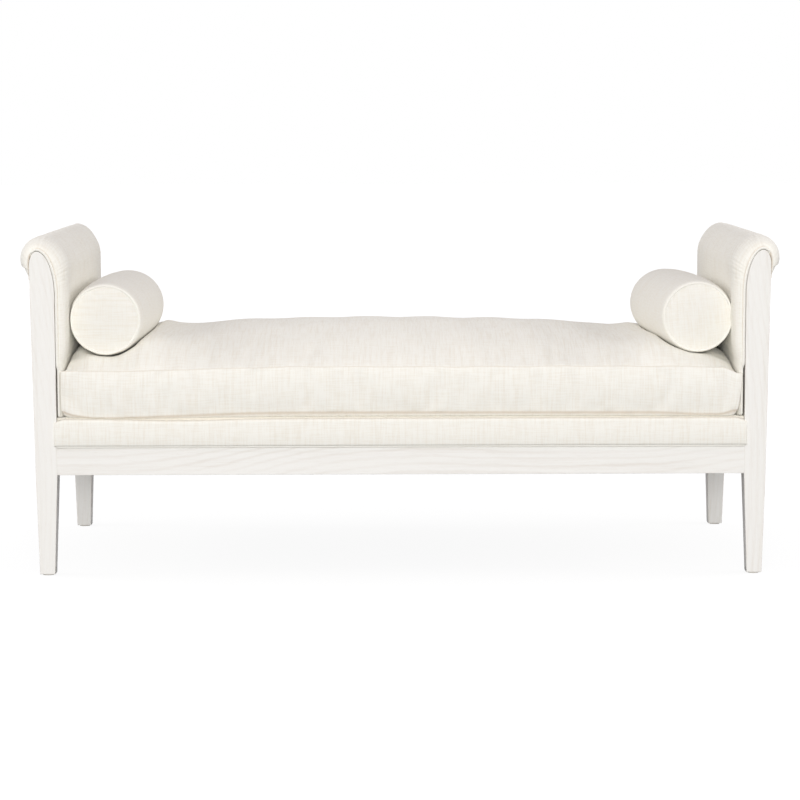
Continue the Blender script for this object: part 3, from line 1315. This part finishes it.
def block(skin, low, high, ease):
    """A block with chamfered edges, as outlines of eight points from bottom to top."""
    outlines = []
    for inset in (ease, 0.0, 0.0, ease):
        x0, y0, x1, y1 = low[0] + inset, low[1] + inset, high[0] - inset, high[1] - inset
        outlines.append([
            (x0 + ease, y0), (x1 - ease, y0), (x1, y0 + ease), (x1, y1 - ease),
            (x1 - ease, y1), (x0 + ease, y1), (x0, y1 - ease), (x0, y0 + ease)])
    stack(skin, np.array(outlines), 2, (low[2], low[2] + ease, high[2] - ease, high[2]))


TAPE_THICKNESS = 0.0006
TOOTH_PITCH = 0.0022
TOOTH_RISE = np.array([-0.0026, -0.0020, 0.0010, 0.0016])
TOOTH_WIDTH = np.array([0.0003, 0.0007, 0.0007, 0.0003])


class DIVAN_OT_zip(bpy.types.Operator):
    """The zip in the cushion's rear boxing and its slider"""

    bl_idname = "divan.zip"
    bl_label = "Zip"

    def execute(self, context):
        middle = (ZIP_LOW[2] + ZIP_HIGH[2]) / 2
        self.tape(middle)
        self.coil(middle)
        self.slider(middle)
        return {"FINISHED"}

    def tape(self, middle):
        """The tape: a flat band, thicker along its two halves and thin at its edges by 1 - q^8."""
        x, q = np.meshgrid(np.linspace(ZIP_LOW[0], ZIP_HIGH[0], 240), np.linspace(-1, 1, 13))
        thick = (TAPE_THICKNESS + 0.0002 * (np.abs(q) > 0.55)) * (1 - np.abs(q) ** 8)
        z = middle + q * (ZIP_HIGH[2] - ZIP_LOW[2]) / 2
        face, back = joined(x, ZIP_LOW[1] + thick, z), joined(x, ZIP_LOW[1] - 0.0002, z)
        tape = slab(face, back, joined(x, z), 0.0, 0.001).build("zip_tape", inner_material("zip_tape"))
        settle(outward(tape), "seat_cushion", "zip_tape", "cushion_zip")

    def coil(self, middle):
        """The coil: short rounded teeth in two rows that mesh, each a ring of six points swept up."""
        at = np.arange(ZIP_LOW[0] + 0.002, ZIP_HIGH[0] - 0.002, TOOTH_PITCH)
        angle = np.linspace(0, 2 * np.pi, 6, endpoint=False)
        round_x, round_y = (TOOTH_WIDTH[:, None] * wave(angle) for wave in (np.cos, np.sin))
        skin = Skin()
        for row, sign in ((0, 1), (1, -1)):
            teeth = joined((at + row * TOOTH_PITCH / 2)[:, None, None] + round_x,
                           ZIP_LOW[1] + 0.0013 + round_y, middle + sign * TOOTH_RISE[:, None])
            for tooth in teeth:
                skin.tube(tooth, np.zeros((4, 7, 2)))
        settle(outward(skin.build("zip_coil", inner_material("nylon"))), "seat_cushion", "zip_tape")

    def slider(self, middle):
        """The slider: a waisted body, a bridge and a pull that hangs from it."""
        low, high = SLIDER_LOW, SLIDER_HIGH
        top, ease = low[1] + 0.0018, 0.0004
        t = np.linspace(0, 1, 14)
        half = 0.0036 + 0.0009 * np.cos(2 * np.pi * t)
        x = low[0] + (high[0] - low[0]) * t
        outlines = []
        for inset in (ease, 0.0, 0.0, ease):
            upper, under = joined(x, middle + half - inset), joined(x, middle - half + inset)
            outlines.append(np.concatenate([upper, under[::-1]]))
        skin = Skin()
        stack(skin, np.array(outlines), 1, (low[1], low[1] + ease, top - ease, top))
        centre = (low[0] + high[0]) / 2
        block(skin, (centre - 0.001, top - 0.0002, middle - 0.003),
              (centre + 0.001, top + 0.0008, middle + 0.003), 0.0003)
        block(skin, (centre - 0.0022, top + 0.0004, low[2]),
              (centre + 0.0022, high[1], middle + 0.002), 0.0002)
        piece = outward(skin.build("zip_puller", inner_material("zip_metal")))
        settle(piece, "zip_slider", "zip_metal", "zip_slider")


# Bolsters

AROUND = 108
DOME = 0.009
SEAM_DIP = 0.0025
STITCH = 0.0006
# Shares of a bolster's side at which its first and last rows stand
SIDE_ROWS = (0.006, 0.018, 0.038), (0.962, 0.982, 0.994)


def bolster_profile():
    """Radius and distance along the axis from the front pole to the rear one: an elliptical dome, the
    dip at the welt, a side that swells by a sine, and the same again."""
    radius, front, rear = bolster_ends()
    seam = radius - SEAM_DIP
    share = np.sin(np.linspace(0, np.pi / 2, 17))
    share[0] = 0.02
    half = (rear - front) / 2
    cap_r = share * (seam - STITCH)
    cap_a = -half - 0.0008 - DOME * (1 - share ** 2.4)
    t = np.concatenate([SIDE_ROWS[0], np.linspace(0.06, 0.94, 50), SIDE_ROWS[1]])
    side_r = seam - STITCH + (0.0026 + BOLSTER_BULGE) * np.sin(np.pi * t) ** 0.32
    side_a = -half + 2 * half * t
    dip = [seam - 2 * STITCH]
    lengths = np.concatenate([cap_r, dip, side_r, dip, cap_r[::-1]])
    places = np.concatenate([cap_a, [-half], side_a, [half], -cap_a[::-1]])
    return lengths, places, len(cap_r)


def bolster_skin(hand, turn, seed):
    """A bolster turned from its profile, with small gathers beside the welts. Gives the skin and the
    numbers of the points that the welts hold."""
    radius, front, rear = bolster_ends()
    lengths, along, cap = bolster_profile()
    angle = np.linspace(0, 2 * np.pi, AROUND, endpoint=False)
    to_seam = np.minimum(np.abs(along - along[cap]), np.abs(along + along[cap]))[:, None]
    gather = 0.0006 * np.exp(-to_seam / 0.012) * ripple(np.arange(AROUND) * 0.0043, 0.016, seed)
    soft = 0.0005 * ripple(along[:, None] + 0.02 * np.cos(angle), 0.13, seed + 1) * (to_seam > 0.01)
    is_side = np.zeros((len(along), 1))
    is_side[cap + 1:-cap - 1] = 1
    r = lengths[:, None] + is_side * (gather + soft)
    y = (front + rear) / 2 + along[:, None]
    axis, height = bolster_axis(hand, y)
    grid = joined(hand * axis + r * np.cos(angle), y, height + r * np.sin(angle))
    skin = Skin()
    index = skin.add(grid, 0.4 * np.exp(-to_seam / 0.002))
    side = slice(cap, len(along) - cap)
    round_run = np.linspace(0, 2 * np.pi * radius, AROUND + 1)
    skin.cells(closed(index)[side], joined(along[side, None], round_run))
    spin = np.array([[np.cos(turn), -np.sin(turn)], [np.sin(turn), np.cos(turn)]])
    for part, pole in ((slice(0, cap + 1), 0), (slice(len(along) - cap - 1, len(along)), -1)):
        disc = closed(grid)[part][..., [0, 2]] @ spin
        skin.cells(closed(index)[part], disc)
        skin.lid(index[pole], disc[pole, :-1])
    return skin, index[[cap, len(along) - cap - 1]].ravel()


def bolster_limits(points, hand):
    """Keeps a bolster off the cushion and flattens it where it leans on the arm."""
    radius = bolster_ends()[0]
    axis, height = bolster_axis(hand, points[:, 1])
    off = points[:, [0, 2]] - joined(hand * axis, np.broadcast_to(height, axis.shape))
    r = np.linalg.norm(off, axis=1)
    low = smooth(0.2, -0.5, off[:, 1] / np.maximum(r, 1e-6))
    most = radius + BOLSTER_BULGE + 0.0004 + 0.0025 * (1 - low)
    scale = np.minimum(1, most / np.maximum(r, 1e-6))
    inner_face = ARM_LOW[0] - sizes().arm_swell - ARM_CROWN * CROWN_LOW - 0.0006
    reach = lower_of(hand * (hand * axis + off[:, 0] * scale), inner_face, 0.002)
    return joined(hand * reach, points[:, 1], height + off[:, 1] * scale)


class DIVAN_OT_bolsters(bpy.types.Operator):
    """Both bolsters with a welt round each end"""

    bl_idname = "divan.bolsters"
    bl_label = "Bolsters"

    def execute(self, context):
        for hand_name, hand in SIDES.items():
            body = f"{hand_name}_bolster"
            turn = np.pi / 2 if hand < 0 else 0.1
            skin, held = bolster_skin(hand, turn, 50 + hand)
            linen = cloth_material("bolster_linen", colour="bolster")
            piece = outward(skin.build(f"{body}_linen", linen))
            inflate(piece, held, 3.0, 0.015, sizes().bolster_cap)
            move_points(piece, bolster_limits(mesh_points(piece.data), hand))
            subdivide(piece)
            settle(piece, body, "linen", f"{body}_cover", fill=0.9)
            settle(self.rings(hand_name, hand), body, "linen", f"{body}_welts")
            settle(self.core(hand_name, hand), body, "fibre", f"{body}_core", fill=0.9)
        return {"FINISHED"}

    def core(self, hand_name, hand):
        """The fibre roll inside: a profile that closes in half a rounded box, turned round the axis.
        y = l c |c|^-0.7 and r = s^0.3, where c and s are the cosine and sine of the bend."""
        low, high = span("right_bolster_core")
        radius = (high[2] - low[2]) / 2 - 0.001
        bend = np.linspace(0.03, np.pi - 0.03, 60)[:, None]
        cosine = np.cos(bend)
        y = (low[1] + high[1]) / 2 - (high[1] - low[1]) / 2 * np.sign(cosine) * np.abs(cosine) ** 0.3
        r = radius * np.sin(bend) ** 0.3
        angle = np.linspace(0, 2 * np.pi, 64, endpoint=False)
        r = r * (1 + 0.006 * ripple(angle + 3 * y, 1.1, 71))
        axis, height = bolster_axis(hand, y)
        rings = joined(hand * axis + r * np.cos(angle), y, height + r * np.sin(angle))
        skin = Skin()
        skin.tube(rings, joined(y, np.linspace(0, 2 * np.pi * radius, 65)))
        return outward(skin.build(f"{hand_name}_bolster_fill", inner_material("fibre")))

    def rings(self, hand_name, hand):
        """The two welts: a small circle carried round a large one."""
        radius, front, rear = bolster_ends()
        small = sizes().welt_radius
        around, across = 180, CORD_SIDES
        angle = np.linspace(0, 2 * np.pi, around, endpoint=False)
        bend = np.linspace(0, 2 * np.pi, across, endpoint=False)[:, None]
        away = joined(np.cos(angle), 0.0, np.sin(angle))
        circle = away[:, None] * np.cos(bend) + np.array([0, 1, 0]) * np.sin(bend)
        places = joined(np.linspace(0, 2 * np.pi * radius, around + 1)[:, None],
                        np.linspace(0, 2 * np.pi * small, across + 1))
        skin = Skin()
        for at, seed in ((front, 61), (rear, 62)):
            axis, height = bolster_axis(hand, at)
            path = np.array([hand * axis, at, height]) + (radius - SEAM_DIP) * away
            width = small * (1 + 0.03 * ripple(angle * radius, 0.02, seed))[:, None, None]
            index = closed(skin.add(path[:, None] + width * circle))
            skin.cells(np.concatenate([index, index[:1]]), places)
        return outward(skin.build(f"{hand_name}_bolster_piping", welt_material()))


# Parts inside and stage


class DIVAN_OT_inside(bpy.types.Operator):
    """Materials for the CAD nodes that stay"""

    bl_idname = "divan.inside"
    bl_label = "Parts inside"

    def execute(self, context):
        slots = {row["node"]: row["material_slot"] for row in frame["record"]["subparts"]}
        for name, piece in frame["nodes"].items():
            if piece.hide_render:
                continue
            piece.data.materials.clear()
            piece.data.materials.append(inner_material(slots[name]))
        return {"FINISHED"}


CAMERA_LENS = 113.67
CAMERA_PLACE = (-0.0218, -5.719, 0.987)
CAMERA_PITCH = np.radians(90 - 6.453)
CAMERA_TURN = np.radians(-0.218)
CAMERA_ROLL = np.radians(-0.147)
FRONT_POWER = 750
SIDE_POWER = 75
SKY_COLOUR = (1, 0.955, 0.98)
SKY_LEVEL = 0.55
FLOOR_COLOUR = (0.12, 0.12, 0.12, 1)
FLOOR_HALF = 30
WHITE = (1, 1, 1)


class DIVAN_OT_stage(bpy.types.Operator):
    """Camera, lamps, world and floor"""

    bl_idname = "divan.stage"
    bl_label = "Stage"

    def execute(self, context):
        scene = context.scene
        scene.view_settings.view_transform = "Standard"
        lens = bpy.data.cameras.new("camera")
        lens.lens = CAMERA_LENS
        lens.sensor_width = 36
        camera = bpy.data.objects.new("camera", lens)
        camera.matrix_world = (
            Matrix.Translation(CAMERA_PLACE) @ Matrix.Rotation(CAMERA_TURN, 4, "Z")
            @ Matrix.Rotation(CAMERA_PITCH, 4, "X") @ Matrix.Rotation(CAMERA_ROLL, 4, "Z"))
        scene.collection.objects.link(camera)
        scene.camera = camera
        self.lamp("front_lamp", (-0.2, -11.0, 1.5), (0, 0, 0.4), (5.0, 2.8), FRONT_POWER)
        for name, hand in SIDES.items():
            self.lamp(f"{name}_lamp", (5.0 * hand, 0.0, 2.4), (0, 0, 0.5), (2.4, 1.8), SIDE_POWER)
        self.sky(scene)
        self.floor()
        return {"FINISHED"}

    def lamp(self, name, place, aim, size, power):
        """A soft rectangular lamp that faces a point."""
        light = bpy.data.lights.new(name, "AREA")
        light.shape = "RECTANGLE"
        light.size, light.size_y = size
        light.energy = power
        lamp = bpy.data.objects.new(name, light)
        facing = Vector(place) - Vector(aim)
        lamp.matrix_world = Matrix.Translation(place) @ facing.to_track_quat("Z", "Y").to_matrix().to_4x4()
        bpy.context.scene.collection.objects.link(lamp)

    def seen_directly(self, tree):
        """1 for camera, glossy and transmission rays."""
        rays = add(tree, "ShaderNodeLightPath").outputs
        either = plus(tree, rays["Is Camera Ray"], rays["Is Glossy Ray"])
        return plus(tree, either, rays["Is Transmission Ray"], use_clamp=True)

    def sky(self, scene):
        """A plain pale world, white where it is seen directly."""
        world = bpy.data.worlds.new("pale_sky")
        world.use_nodes = True
        scene.world = world
        tree = world.node_tree
        back = tree.nodes["Background"]
        seen = self.seen_directly(tree)
        tree.links.new(mixed(tree, seen, SKY_COLOUR, WHITE), back.inputs["Color"])
        tree.links.new(between(tree, seen, 0.0, 1.0, SKY_LEVEL, 1.0), back.inputs["Strength"])

    def floor(self):
        """A plain pale floor that keeps the shadow and is white where it is lit."""
        skin = Skin()
        x, y = np.meshgrid(*[np.linspace(-FLOOR_HALF, FLOOR_HALF, 7)] * 2)
        skin.cells(skin.add(joined(x, y, 0.0)), joined(x, y))
        material, tree, shader = new_material("pale_floor")
        look(shader, Base_Color=FLOOR_COLOUR, Roughness=0.9, Specular_IOR_Level=0.0)
        look(shader, Emission_Color=(*WHITE, 1))
        spot = add(tree, "ShaderNodeTexCoord").outputs["Object"]
        away = add(tree, "ShaderNodeVectorMath", {0: spot}, operation="LENGTH").outputs["Value"]
        glow = times(tree, self.seen_directly(tree), between(tree, away, 1.2, 3.0, 0.92, 1.0))
        tree.links.new(glow, shader.inputs["Emission Strength"])
        skin.build("floor", material)


class DIVAN_PT_panel(bpy.types.Panel):
    """The divan's sizes, colours and pieces"""

    bl_label = "Divan"
    bl_idname = "DIVAN_PT_panel"
    bl_space_type = "VIEW_3D"
    bl_region_type = "UI"
    bl_category = "Divan"

    def draw(self, context):
        for group in (context.scene.divan_sizes, context.scene.divan_colours):
            for name in group.__annotations__:
                self.layout.prop(group, name)
        for operator in OPERATORS:
            self.layout.operator(operator.bl_idname)


OPERATORS = (
    DIVAN_OT_stage, DIVAN_OT_oak, DIVAN_OT_deck, DIVAN_OT_arms,
    DIVAN_OT_seat, DIVAN_OT_zip, DIVAN_OT_bolsters, DIVAN_OT_inside)
CLASSES = (DivanSizes, DivanColours, *OPERATORS, DIVAN_PT_panel)


def register():
    """Adds the add-on's classes, and its sizes and colours to the scene."""
    for kind in CLASSES:
        bpy.utils.register_class(kind)
    bpy.types.Scene.divan_sizes = PointerProperty(type=DivanSizes)
    bpy.types.Scene.divan_colours = PointerProperty(type=DivanColours)


def unregister():
    """Takes out what register put in."""
    del bpy.types.Scene.divan_colours
    del bpy.types.Scene.divan_sizes
    for kind in reversed(CLASSES):
        bpy.utils.unregister_class(kind)


def main():
    """Builds every piece in order."""
    register()
    bpy.ops.divan.stage()
    bpy.ops.divan.oak()
    bpy.ops.divan.deck()
    bpy.ops.divan.arms()
    bpy.ops.divan.seat()
    bpy.ops.divan.zip()
    bpy.ops.divan.bolsters()
    bpy.ops.divan.inside()


if __name__ == "__main__":
    main()
